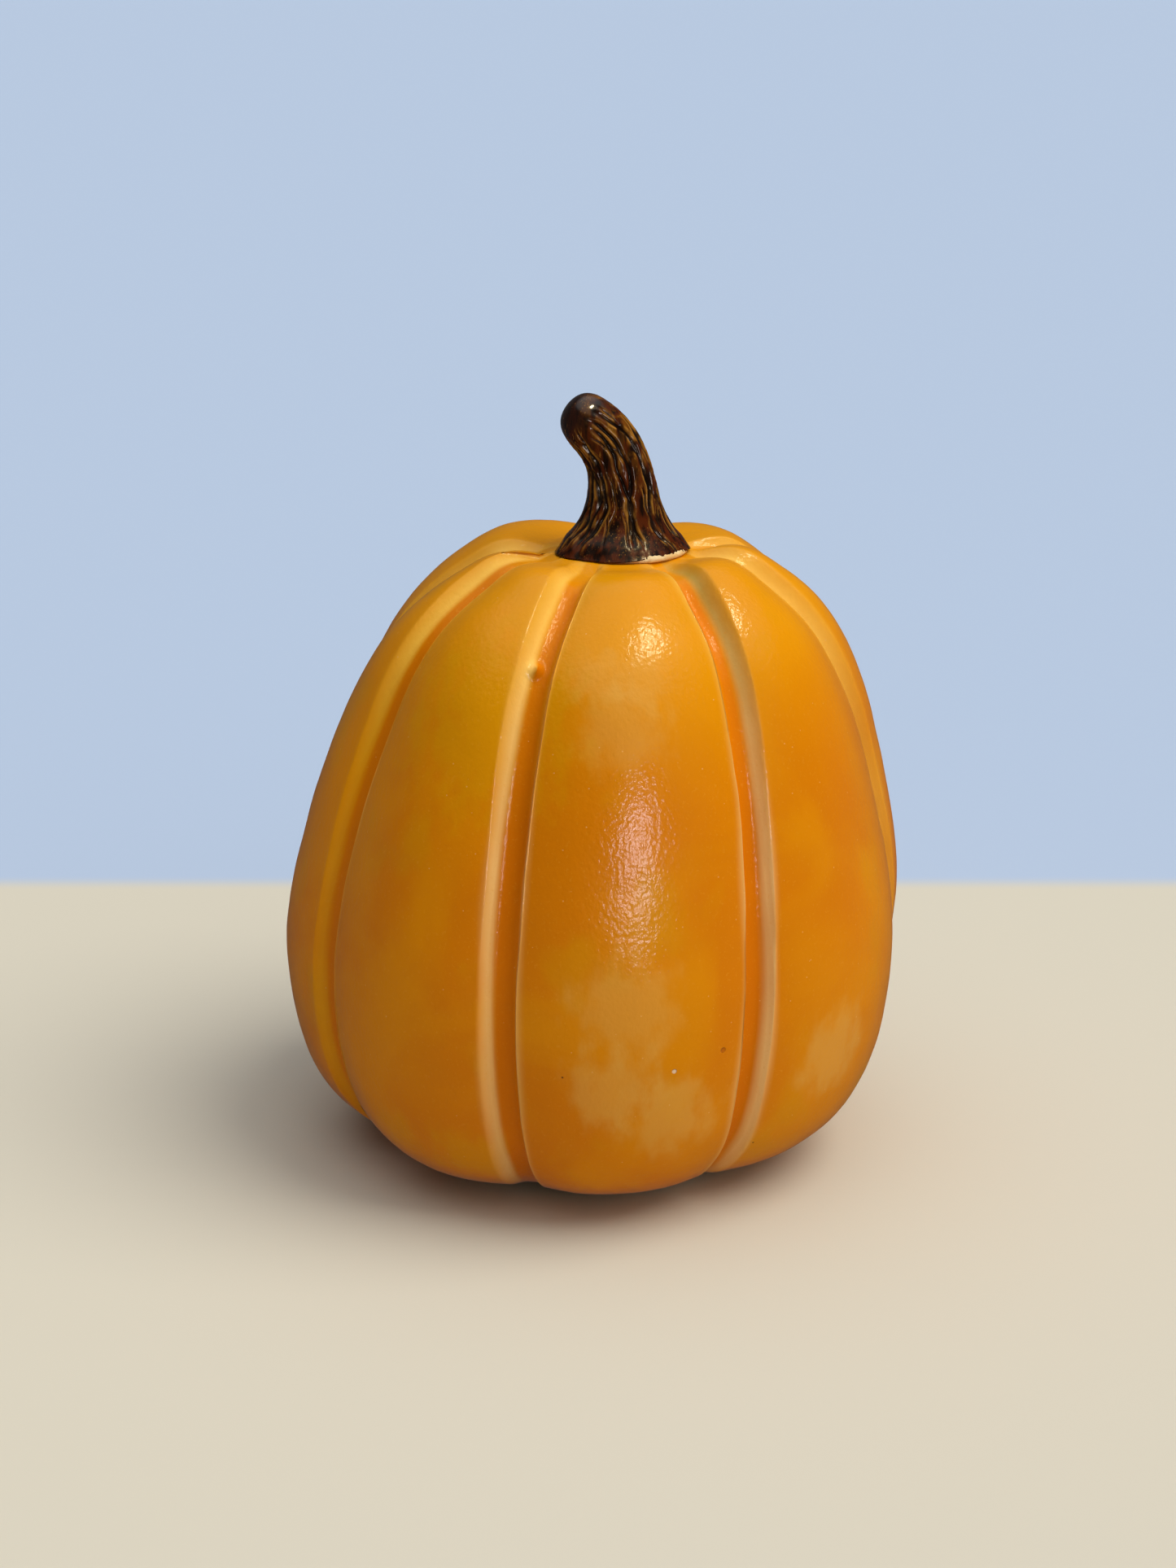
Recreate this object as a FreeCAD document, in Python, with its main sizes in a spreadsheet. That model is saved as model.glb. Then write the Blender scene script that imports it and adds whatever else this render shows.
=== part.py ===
"""Ceramic pumpkin figure, in millimetres.

A hollow glazed earthenware pumpkin with eight uneven lobes, parted by grooves that were cut with a
loop tool, and a bent solid stem that was modelled on its own and stuck on with slip.  It stands on
four felt pads.  +Z is up, the front faces -Y, and the origin is on the table under the middle.
"""
import FreeCAD, Part
import math
import os
import Sketcher

from FreeCAD import Placement, Rotation, Vector

NODE_FOLDER = "parts"

# Driving dimensions: name, value in millimetres and what it is.
DIMENSIONS = [
    ("body_radius", 47.4, "crest radius of the fattest lobe"),
    ("body_height", 94.0, "foot to the top of the profile's control points"),
    ("foot_radius", 24.5, "flat unglazed foot"),
    ("seat_radius", 11.6, "flat on the crown that carries the stem"),
    ("seat_height", 90.3, "foot to that flat"),
    ("wall", 5.4, "thickness of the clay"),
    ("lobe_depth", 2.0, "how far the clay falls from a crest to a groove"),
    ("groove_width", 5.8, "mouth of the loop tool's cut"),
    ("groove_depth", 1.9, "depth of that cut"),
    ("lip_height", 0.3, "burr that the tool throws up beside the cut"),
    ("crown_lean", 3.8, "sideways drift of the crown, to +X"),
    ("crown_set_back", 1.8, "forward drift of the crown, to -Y"),
    ("recess_radius", 12.0, "wiped hollow in the middle of the foot"),
    ("recess_depth", 1.0, "depth of that hollow"),
    ("vent_radius", 2.5, "hole that lets air out in the kiln"),
    ("slip_thickness", 0.8, "slip between the crown and the stem"),
    ("slip_bead", 0.6, "slip squeezed out round the stem"),
    ("slip_rounding", 0.58, "rounding of that bead"),
    ("stem_height", 19.2, "stem's base to the middle of its cut end"),
    ("stem_radius", 9.5, "stem's base"),
    ("stem_shift", 0.8, "how far the stem stands to the +X side of the crown's middle"),
    ("pad_radius", 4.5, "felt pad"),
    ("pad_thickness", 1.5, "felt pad"),
    ("pad_circle", 19.0, "radius of the circle that the pads stand on"),
]

# The profile of a crest, from the foot to the seat: radius and height as shares of the body's.
# The foot comes before these points and the seat after them.
PROFILE = [(0.68, 0.00), (0.905, 0.06), (0.995, 0.26), (1.00, 0.44), (0.815, 0.76), (0.67, 0.885),
           (0.48, 0.955), (0.36, 0.985)]
LEAN_POWER = 1.8

# Each groove: degrees round from the front at mid height, and how far it drifts by the crown.
GROOVES = [(-103, 12), (-60.3, -0.5), (-17.4, -2.3), (30.4, 0.8), (83, -11), (115, -12), (161, 0), (204, -11)]
# Millimetres that the lobe after each groove stands proud of the usual one, at its foot and crown.
LOBE_SWELLS = [(0.5, -0.4), (0.1, -0.3), (0.3, -0.6), (0.3, 0.1), (0.5, -0.1), (0.2, 0.3), (0.0, 0.3),
               (0.2, 1.4)]
# Shares of a lobe's width where the skin has a column of control points: close beside the cuts.
COLUMNS = [0.0, 0.03, 0.06, 0.10, 0.17, 0.31, 0.50, 0.69, 0.83, 0.90, 0.94, 0.97]
SKIN_ROWS = 30
USUAL_LOBE = 45.0
LOBE_FULLNESS = 0.7
FADE_AT_FOOT = 0.14
FADE_AT_SEAT = 0.20
DEGREE = 3

# The stem's sections, from the base up: height and sideways bend as shares of the stem's height,
# radius as a share of the base's, and the tilt of the section towards -X in degrees.
STEM_SECTIONS = [
    (0.00, 0.000, 1.00, 0),
    (0.05, 0.000, 0.90, 0),
    (0.15, 0.000, 0.74, 0),
    (0.27, -0.003, 0.60, 2),
    (0.45, -0.010, 0.52, 5),
    (0.61, -0.030, 0.465, 12),
    (0.78, -0.115, 0.465, 24),
    (0.92, -0.228, 0.455, 38),
    (0.99, -0.330, 0.425, 47),
    (1.02, -0.420, 0.29, 52),
]
PAD_COUNT = 4


def make_sheet(doc):
    """The spreadsheet of driving dimensions, one alias for each."""
    sheet = doc.addObject("Spreadsheet::Sheet", "Dimensions")
    for row, (alias, value, meaning) in enumerate(DIMENSIONS, start=1):
        sheet.set("A%d" % row, alias)
        sheet.set("B%d" % row, str(value))
        sheet.set("C%d" % row, meaning)
        sheet.setAlias("B%d" % row, alias)
    doc.recompute()
    return sheet


def smooth_step(x):
    x = min(max(x, 0.0), 1.0)
    return x * x * (3.0 - 2.0 * x)


def crest_curve(sheet):
    """A crest's profile as a curve in the XZ plane: X is the radius and Z the height."""
    poles = [Vector(sheet.foot_radius, 0, 0)]
    for radius, height in PROFILE:
        poles.append(Vector(radius * sheet.body_radius, 0, height * sheet.body_height))
    poles.append(Vector(sheet.seat_radius, 0, sheet.seat_height))
    curve = Part.BSplineCurve()
    curve.buildFromPoles(poles, False, DEGREE)
    return curve


def cavity_curve(sheet):
    """The crest's profile moved in by the wall, with a floor and a roof of the same thickness."""
    squeeze = (sheet.seat_height - 2.0 * sheet.wall) / sheet.seat_height
    poles = []
    for pole in crest_curve(sheet).getPoles():
        poles.append(Vector(pole.x - sheet.wall, 0, sheet.wall + squeeze * pole.z))
    curve = Part.BSplineCurve()
    curve.buildFromPoles(poles, False, DEGREE)
    return curve


def groove_azimuth(index, share):
    """Degrees round from the front of a groove, counted on past a full turn; share is 0 to 1 of
    the body's height."""
    turn, place = divmod(index, len(GROOVES))
    middle, drift = GROOVES[place]
    return 360.0 * turn + middle + drift * (2.0 * share - 1.0)


def axis_point(sheet, height):
    """Where the middle of the body is at a height: the crown leans a little."""
    share = max(height, 0.0) / sheet.seat_height
    drift = share ** LEAN_POWER
    return Vector(sheet.crown_lean * drift, -sheet.crown_set_back * drift, height)


def relief(sheet, across, lobe_width, radius, proud, cut):
    """Height of the clay above the crest's profile, at a share across a lobe that spans so many
    degrees: the lobe's swell and, if cut is true, the tool's cut and its burr."""
    depth = sheet.lobe_depth * lobe_width / USUAL_LOBE
    height = (depth + proud) * math.sin(math.pi * across) ** LOBE_FULLNESS - depth
    if cut:
        from_groove = min(across, 1.0 - across) * math.radians(lobe_width) * radius
        half_width = 0.5 * sheet.groove_width
        inside = max(0.0, 1.0 - (from_groove / half_width) ** 2)
        burr = math.exp(-(2.0 * (from_groove / half_width - 1.3)) ** 2)
        height += sheet.lip_height * burr - sheet.groove_depth * inside * inside
    return height


def skin_point(sheet, curve, share, lobe, across, cut):
    """A point of the skin: share along the profile, and share across the numbered lobe."""
    first, last = curve.FirstParameter, curve.LastParameter
    parameter = first + share * (last - first)
    on_crest = curve.value(parameter)
    along = curve.tangent(parameter)[0]
    up_share = on_crest.z / sheet.seat_height
    start = groove_azimuth(lobe, up_share)
    lobe_width = groove_azimuth(lobe + 1, up_share) - start
    fade = smooth_step(share / FADE_AT_FOOT) * smooth_step((1.0 - share) / FADE_AT_SEAT)
    foot_swell, crown_swell = LOBE_SWELLS[lobe]
    proud = foot_swell + (crown_swell - foot_swell) * up_share
    height = fade * relief(sheet, across, lobe_width, on_crest.x, proud, cut)
    radius = on_crest.x + along.z * height
    azimuth = math.radians(start + across * lobe_width)
    middle = axis_point(sheet, on_crest.z - along.x * height)
    return middle + Vector(radius * math.sin(azimuth), -radius * math.cos(azimuth), 0)


def closed_skin(sheet, curve, cut):
    """The solid inside one lobed skin, with flat faces at its foot and its crown."""
    grid = []
    for lobe in range(len(GROOVES)):
        for across in COLUMNS:
            column = []
            for row in range(SKIN_ROWS):
                share = row / (SKIN_ROWS - 1.0)
                column.append(skin_point(sheet, curve, share, lobe, across, cut))
            grid.append(column)
    around_knots = list(range(len(grid) + 1))
    up_knots = list(range(SKIN_ROWS - DEGREE + 1))
    around_times = [1] * len(around_knots)
    up_times = [DEGREE + 1] + [1] * (len(up_knots) - 2) + [DEGREE + 1]
    surface = Part.BSplineSurface()
    surface.buildFromPolesMultsKnots(grid, around_times, up_times, around_knots, up_knots,
                                     True, False, DEGREE, DEGREE)
    faces = [surface.toShape()]
    for end_row in (up_knots[0], up_knots[-1]):
        rim = surface.vIso(end_row).toShape()
        faces.append(Part.Face(Part.Wire([rim])))
    shell = Part.Shell(faces)
    shell.sewShape()
    solid = Part.Solid(shell)
    if solid.Volume < 0:
        solid.reverse()
    return solid


def make_form(doc, sheet, name, curve, cut):
    """One lobed solid as a feature that stands on the felt pads."""
    form = doc.addObject("Part::Feature", name)
    form.Shape = closed_skin(sheet, curve, cut)
    form.Placement = Placement(Vector(0, 0, sheet.pad_thickness), Rotation())
    return form


def make_bore(doc, name, radius_alias, depth_expression):
    """An upright cylinder that starts at the foot's plane."""
    bore = doc.addObject("Part::Cylinder", name)
    bore.setExpression("Radius", "Dimensions." + radius_alias)
    bore.setExpression("Height", depth_expression)
    bore.setExpression("Placement.Base.z", "Dimensions.pad_thickness")
    return bore


def make_cut(doc, name, base, tool):
    cut = doc.addObject("Part::Cut", name)
    cut.Base = base
    cut.Tool = tool
    return cut


def make_body_shell(doc, sheet):
    """The hollow pumpkin: outer form, less its cavity, the foot's hollow and the kiln vent."""
    outside = make_form(doc, sheet, "outside_form", crest_curve(sheet), True)
    cavity = make_form(doc, sheet, "cavity_form", cavity_curve(sheet), False)
    recess = make_bore(doc, "foot_recess", "recess_radius", "Dimensions.recess_depth")
    vent = make_bore(doc, "kiln_vent", "vent_radius", "2 * Dimensions.wall")
    hollow = make_cut(doc, "hollow_form", outside, cavity)
    wiped = make_cut(doc, "wiped_form", hollow, recess)
    return make_cut(doc, "body_shell", wiped, vent)


def origin_plane(body, role):
    for feature in body.Origin.OriginFeatures:
        if feature.Role == role:
            return feature
    raise ValueError("no origin plane " + role)


def crown_middle(sheet, height_above_seat):
    """A point over the stem's place on the crown."""
    middle = axis_point(sheet, sheet.seat_height)
    return middle + Vector(sheet.stem_shift, 0, sheet.pad_thickness + height_above_seat)


def make_slip_joint(doc, sheet):
    """The thin bed of slip under the stem, with the bead that squeezed out round it."""
    body = doc.addObject("PartDesign::Body", "stem_slip_joint")
    sketch = body.newObject("Sketcher::SketchObject", "slip_section")
    sketch.AttachmentSupport = [(origin_plane(body, "XZ_Plane"), "")]
    sketch.MapMode = "FlatFace"

    bed = sheet.stem_radius
    thickness = sheet.slip_thickness
    bead = sheet.slip_bead
    corners = [Vector(0, 0, 0), Vector(bed + 0.3 * bead, 0, 0), Vector(bed, thickness + 0.5 * bead, 0),
               Vector(bed, thickness, 0), Vector(0, thickness, 0)]
    bulge = Vector(bed + bead, 0.5 * (thickness + 0.5 * bead), 0)
    underside = sketch.addGeometry(Part.LineSegment(corners[0], corners[1]))
    outside = sketch.addGeometry(Part.Arc(corners[1], bulge, corners[2]))
    inside = sketch.addGeometry(Part.LineSegment(corners[2], corners[3]))
    top = sketch.addGeometry(Part.LineSegment(corners[3], corners[4]))
    axis = sketch.addGeometry(Part.LineSegment(corners[4], corners[0]))
    start_of_arc, end_of_arc = (1, 2) if sketch.Geometry[outside].StartPoint.y < 1e-6 else (2, 1)
    add_constraint(sketch, "Coincident", underside, 2, outside, start_of_arc)
    add_constraint(sketch, "Coincident", outside, end_of_arc, inside, 1)
    add_constraint(sketch, "Coincident", inside, 2, top, 1)
    add_constraint(sketch, "Coincident", top, 2, axis, 1)
    add_constraint(sketch, "Coincident", axis, 2, underside, 1)
    add_constraint(sketch, "Coincident", axis, 2, -1, 1)
    add_constraint(sketch, "Horizontal", underside)
    add_constraint(sketch, "Vertical", inside)
    add_constraint(sketch, "Horizontal", top)
    add_constraint(sketch, "Vertical", axis)
    bind(sketch, "DistanceX", (top, 2, top, 1), bed, "Dimensions.stem_radius")
    bind(sketch, "DistanceY", (axis, 2, axis, 1), thickness, "Dimensions.slip_thickness")
    bind(sketch, "DistanceX", (axis, 2, outside, start_of_arc), corners[1].x,
         "Dimensions.stem_radius + 0.3 * Dimensions.slip_bead")
    bind(sketch, "DistanceY", (axis, 2, outside, end_of_arc), corners[2].y,
         "Dimensions.slip_thickness + 0.5 * Dimensions.slip_bead")
    bind(sketch, "Radius", (outside,), sketch.Geometry[outside].Radius, "Dimensions.slip_rounding")

    turned = body.newObject("PartDesign::Revolution", "slip_bed")
    turned.Profile = sketch
    turned.ReferenceAxis = (sketch, ["V_Axis"])
    turned.Angle = 360.0
    body.Tip = turned
    body.Placement = Placement(crown_middle(sheet, 0), Rotation())
    return body


def add_constraint(sketch, *parts):
    return sketch.addConstraint(Sketcher.Constraint(*parts))


def bind(sketch, kind, places, value, expression):
    """A dimension of a sketch that follows the spreadsheet."""
    index = add_constraint(sketch, kind, *places, value)
    sketch.setExpression("Constraints[%d]" % index, expression)


def make_stem(doc, sheet):
    """The solid stem: round sections lofted up its bend, the last ones closing in on its cut end."""
    body = doc.addObject("PartDesign::Body", "stem")
    plane = origin_plane(body, "XY_Plane")
    sections = []
    for number, (height, bend, radius, tilt) in enumerate(STEM_SECTIONS):
        sketch = body.newObject("Sketcher::SketchObject", "stem_section_%d" % number)
        sketch.AttachmentSupport = [(plane, "")]
        sketch.MapMode = "FlatFace"
        sketch.AttachmentOffset = Placement(Vector(), Rotation(Vector(0, 1, 0), -tilt))
        sketch.setExpression(".AttachmentOffset.Base.x", "%g * Dimensions.stem_height" % bend)
        sketch.setExpression(".AttachmentOffset.Base.z", "%g * Dimensions.stem_height" % height)
        start_radius = radius * sheet.stem_radius
        sketch.addGeometry(Part.Circle(Vector(), Vector(0, 0, 1), start_radius))
        add_constraint(sketch, "Coincident", 0, 3, -1, 1)
        bind(sketch, "Radius", (0,), start_radius, "%g * Dimensions.stem_radius" % radius)
        sections.append(sketch)
    loft = body.newObject("PartDesign::AdditiveLoft", "stem_loft")
    loft.Profile = sections[0]
    loft.Sections = sections[1:]
    body.Tip = loft
    body.Placement = Placement(crown_middle(sheet, sheet.slip_thickness), Rotation())
    return body


def make_felt_pad(doc, sheet, number):
    """One self-adhesive felt pad, stuck under the foot."""
    pad = doc.addObject("Part::Cylinder", "felt_pad_%d" % number)
    pad.setExpression("Radius", "Dimensions.pad_radius")
    pad.setExpression("Height", "Dimensions.pad_thickness")
    azimuth = 2.0 * math.pi * (number - 1) / PAD_COUNT
    place = Vector(math.sin(azimuth), -math.cos(azimuth), 0) * sheet.pad_circle
    pad.Placement = Placement(place, Rotation())
    return pad


def check_document(doc):
    for item in doc.Objects:
        if "Invalid" in item.State or "Error" in item.State:
            raise RuntimeError("%s failed: %s" % (item.Name, item.State))


def export_nodes(nodes):
    os.makedirs(NODE_FOLDER, exist_ok=True)
    for node in nodes:
        shape = node.Shape
        if shape.isNull() or not shape.isValid() or shape.Volume <= 0:
            raise RuntimeError("%s has no valid solid" % node.Label)
        shape.exportStep(os.path.join(NODE_FOLDER, node.Label + ".step"))
        box = shape.BoundBox
        print("%-16s %9.1f mm3  x %.2f..%.2f  y %.2f..%.2f  z %.2f..%.2f" % (
            node.Label, shape.Volume, box.XMin, box.XMax, box.YMin, box.YMax, box.ZMin, box.ZMax))


def main():
    doc = FreeCAD.newDocument("ceramic_pumpkin")
    sheet = make_sheet(doc)
    nodes = [make_body_shell(doc, sheet), make_slip_joint(doc, sheet), make_stem(doc, sheet)]
    for number in range(1, PAD_COUNT + 1):
        nodes.append(make_felt_pad(doc, sheet, number))
    for node in nodes:
        node.Label = node.Name
    doc.recompute()
    check_document(doc)
    export_nodes(nodes)


main()
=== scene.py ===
"""Ceramic pumpkin figure: the looks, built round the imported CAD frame.

Shapes are worked out in millimetres, in the frame's own axes, and turned into metres when a mesh is
made.  The front of the figure faces -Y.
"""
import math

import bpy
import numpy as np
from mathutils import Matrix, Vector, noise


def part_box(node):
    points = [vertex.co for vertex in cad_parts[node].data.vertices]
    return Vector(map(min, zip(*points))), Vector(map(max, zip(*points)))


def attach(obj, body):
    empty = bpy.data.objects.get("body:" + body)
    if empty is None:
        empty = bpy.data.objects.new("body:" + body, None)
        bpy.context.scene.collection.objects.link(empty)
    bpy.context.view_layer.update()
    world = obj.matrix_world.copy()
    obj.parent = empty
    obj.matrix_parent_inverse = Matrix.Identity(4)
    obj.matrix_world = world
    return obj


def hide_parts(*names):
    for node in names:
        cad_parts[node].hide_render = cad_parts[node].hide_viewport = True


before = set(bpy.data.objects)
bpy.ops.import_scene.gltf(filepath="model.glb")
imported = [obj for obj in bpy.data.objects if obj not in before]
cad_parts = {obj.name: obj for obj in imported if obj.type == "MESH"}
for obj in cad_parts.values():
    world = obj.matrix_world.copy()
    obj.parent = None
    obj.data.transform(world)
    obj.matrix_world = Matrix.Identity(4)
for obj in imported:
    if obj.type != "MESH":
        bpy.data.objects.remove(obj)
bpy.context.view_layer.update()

MM = 0.001

# ------------------------------------------------------------------ places that the CAD fixes


def box_mm(node):
    """Lowest and highest corner of a CAD node, in millimetres."""
    low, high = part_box(node)
    return np.array(low) / MM, np.array(high) / MM


def middle_mm(node):
    low, high = box_mm(node)
    return 0.5 * (low + high)


FOOT_PLANE = box_mm("felt_pad_1")[1][2]
SEAT_PLANE = box_mm("stem_slip_joint")[0][2]
STEM_PLANE = box_mm("stem")[0][2]
STEM_X, STEM_Y = middle_mm("stem_slip_joint")[:2]
PADS = ["felt_pad_%d" % number for number in range(1, 5)]

# ------------------------------------------------------------------ the body's form, as in the CAD

BODY_RADIUS = 47.4
BODY_HEIGHT = 94.0
FOOT_RADIUS = 24.5
SEAT_RADIUS = 11.6
SEAT_HEIGHT = SEAT_PLANE - FOOT_PLANE
WALL = 5.4
RECESS_RADIUS = 12.0
RECESS_DEPTH = 1.0
VENT_RADIUS = 2.5
STEM_SHIFT = 0.8
CROWN_LEAN = STEM_X - STEM_SHIFT
CROWN_SET_BACK = -STEM_Y
LEAN_POWER = 1.8

# Poles of a crest's profile, from the foot to the seat: radius and height as shares of the body's.
PROFILE = [(0.68, 0.00), (0.905, 0.06), (0.995, 0.26), (1.00, 0.44), (0.815, 0.76), (0.67, 0.885),
           (0.48, 0.955), (0.36, 0.985)]
# Each groove: degrees round from the front at mid height, and how far it drifts by the crown.
GROOVES = [(-103, 12), (-60.3, -0.5), (-17.4, -2.3), (30.4, 0.8), (83, -11), (115, -12), (161, 0),
           (204, -11)]
# Millimetres that the lobe after each groove stands proud of the usual one, at its foot and crown.
LOBE_SWELLS = [(0.5, -0.4), (0.1, -0.3), (0.3, -0.6), (0.3, 0.1), (0.5, -0.1), (0.2, 0.3), (0.0, 0.3),
               (0.2, 1.4)]
LOBES = len(GROOVES)
LOBE_DEPTH = 2.0
LOBE_FULLNESS = 0.7
FADE_AT_FOOT = 18.5
FADE_AT_SEAT = 16.0
VALLEY_ROUNDING = 0.12
# The rows of the level bed under the slip reach in to this radius, and a fan closes the middle.
BED_RADIUS = 9.0

# ------------------------------------------------------------------ the loop tool's cuts

# A cut is a floor between two walls, in millimetres.  One wall of most grooves is steep and the
# other leans back, most of all near the crown, where the cut is also shallower and its floor narrower.
# The crown starts at a share of the seat's height and is full a span above.
CROWN_STARTS = 0.62
CROWN_SPAN = 0.30
CROWN_NARROWING = 0.35
# The share of a cut's depth that is lost at the seat, the run in millimetres over which it is lost,
# and the shorter run over which the cut ends altogether.
DEPTH_LOST = 0.5
DEPTH_LOST_RUN = 15.0
CUT_END_RUN = 3.5
# Near the seat the floor's colour fades out over a run that ends a little short of it, and the
# pale glaze fades to a share of its strength.
FLOOR_COLOUR_GAP = 1.5
FLOOR_COLOUR_RUN = 11.0
PALE_SEAT_RUN = 9.0
PALE_AT_SEAT = 0.4
# Each groove's depth, and how far its floor reaches left and right of its middle at mid height.
CUT_SIZES = [(1.7, 1.5, 1.2), (1.5, 2.7, 0.7), (1.9, 1.6, 0.8), (1.9, 0.5, 1.35), (1.6, 1.4, 1.4),
             (1.8, 1.2, 1.4), (1.7, 1.4, 1.3), (1.8, 1.3, 1.3)]
# Widths of each groove's two walls: left at mid height and crown, then right.
CUT_WALLS = [((1.4, 2.4), (1.4, 2.4)), ((1.7, 2.8), (0.75, 0.9)), ((1.8, 2.8), (1.0, 1.3)),
             ((1.0, 1.5), (1.3, 2.4)), ((0.8, 0.9), (1.8, 2.6)), ((1.6, 2.2), (1.0, 1.4)),
             ((1.2, 1.6), (1.8, 2.4)), ((1.7, 2.6), (1.1, 1.4))]
# How far the thin pale glaze reaches from each groove's floor, left and right, at mid height.
PALE_WIDTHS = [(3.2, 2.4), (2.8, 1.6), (2.8, 2.4), (2.6, 2.6), (1.7, 3.4), (3.2, 2.4), (2.4, 3.2),
               (3.4, 2.4)]
# That glaze's extra width at the crown, the millimetres over which it comes in beside the floor, the
# power of its fading outward, its strength, and the least share of that which the tint leaves it.
PALE_WIDENING = 0.1
PALE_START = 0.7
PALE_FADING = 1.7
PALE_STRENGTH = 1.35
FAINTEST_PALE = 0.45
# What that glaze looks like there: from 0, a faint yellow, to 1, a strong grey-cream.
PALE_TINTS = [(0.2, 0.3), (0.0, 0.6), (0.8, 0.7), (0.8, 1.0), (0.5, 0.2), (0.3, 0.2), (0.4, 0.3),
              (0.2, 0.3)]

# How much the walls, the floor and the pale glaze waver along a groove: the walls and the glaze by
# shares of their widths, the floor in millimetres.
WALL_WAVER = 0.22
FLOOR_WAVER = 0.15
PALE_WAVER = 0.4
# The floor's own colour is full up to this far inside its edge, and fades out over this width.
FLOOR_MARGIN = 0.15
FLOOR_SOFTNESS = 0.40

COLUMNS_PER_LOBE = 66
COLUMN_CROWDING = 0.72
SKIN_ROWS = 158
CAVITY_ROWS = 14
# The drop of glaze: where it is, and how much closer the rows lie over how many millimetres there.
DROP_AZIMUTH = -22.4
DROP_HEIGHT = 80.6
DROP_PUSH = 1.5
DROP_RADIUS = 0.9
DROP_CROWDING = 1.6
DROP_REACH = 3.5


def smooth_step(x):
    x = np.clip(x, 0.0, 1.0)
    return x * x * (3.0 - 2.0 * x)


def hump(x, middle, width):
    return np.exp(-((x - middle) / width) ** 2)


def turned_from(turn, azimuth):
    """Angles, in radians from -pi to pi, from an azimuth in degrees."""
    return np.angle(np.exp(1j * (turn - math.radians(azimuth))))


def lumps(points, size, seed):
    """Smooth noise between about -1 and 1 at each point; size is the spacing of its lumps."""
    shift = Vector((3.1 * seed, 7.7 * seed, 1.9 * seed))
    return np.array([noise.noise(Vector(point) / size + shift) for point in points])


def spline(poles, shares):
    """Points of a clamped cubic B-spline with these poles, at shares 0 to 1 of its knots."""
    poles = np.asarray(poles, float)
    spans = len(poles) - 3
    knots = np.concatenate([[0.0] * 3, np.arange(spans + 1.0), [float(spans)] * 3])
    place = np.clip(np.asarray(shares, float), 0.0, 1.0) * spans
    span = np.minimum(place.astype(int), spans - 1) + 3
    points = [poles[span - 3 + i].copy() for i in range(4)]
    for level in range(1, 4):
        for i in range(3, level - 1, -1):
            left = knots[span - 3 + i]
            right = knots[span + 1 + i - level]
            blend = ((place - left) / (right - left))[:, None]
            points[i] = (1.0 - blend) * points[i - 1] + blend * points[i]
    return points[3]


def crest_poles():
    poles = [(FOOT_RADIUS, 0.0)]
    poles += [(radius * BODY_RADIUS, height * BODY_HEIGHT) for radius, height in PROFILE]
    poles.append((SEAT_RADIUS, SEAT_HEIGHT))
    return np.array(poles)


def cavity_poles():
    squeeze = (SEAT_HEIGHT - 2.0 * WALL) / SEAT_HEIGHT
    poles = crest_poles()
    return np.column_stack([poles[:, 0] - WALL, WALL + squeeze * poles[:, 1]])


def profile_rows(line, count, crowd):
    """Points spaced along a profile, their outward normals, and their distance along it from the
    foot in millimetres.  The rows lie closer where crowd, a function of the height, is large."""
    steps = np.hypot(*np.diff(line, axis=0).T)
    travelled = np.concatenate([[0.0], np.cumsum(steps)])
    weights = 1.0 + crowd(0.5 * (line[1:, 1] + line[:-1, 1]))
    weighed = np.concatenate([[0.0], np.cumsum(steps * weights)])
    along = np.interp(np.linspace(0.0, weighed[-1], count), weighed, travelled)
    rows = np.column_stack([np.interp(along, travelled, line[:, i]) for i in range(2)])
    slopes = np.gradient(line, travelled, axis=0)
    heading = np.column_stack([np.interp(along, travelled, slopes[:, i]) for i in range(2)])
    heading /= np.linalg.norm(heading, axis=1)[:, None]
    return rows, np.column_stack([heading[:, 1], -heading[:, 0]]), along


def groove_azimuth(lobe, up):
    """Degrees round from the front of a groove at a share of the body's height."""
    turn, place = divmod(lobe, LOBES)
    middle, drift = GROOVES[place]
    return 360.0 * turn + middle + drift * (2.0 * up - 1.0)


def lean(height):
    share = np.clip(height, 0.0, None) / SEAT_HEIGHT
    return CROWN_LEAN * share ** LEAN_POWER, -CROWN_SET_BACK * share ** LEAN_POWER


def column_shares():
    """Shares across one lobe, crowded towards the grooves at its two sides."""
    even = np.arange(COLUMNS_PER_LOBE) / COLUMNS_PER_LOBE
    return even - COLUMN_CROWDING * np.sin(2.0 * math.pi * even) / (2.0 * math.pi)


def wander(groove, up, seed):
    """A slow uneven wave along one groove, between about -1 and 1."""
    return lumps([(0.37 * (groove % LOBES), 0.0, 5.0 * share) for share in up], 1.0, seed)


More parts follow.
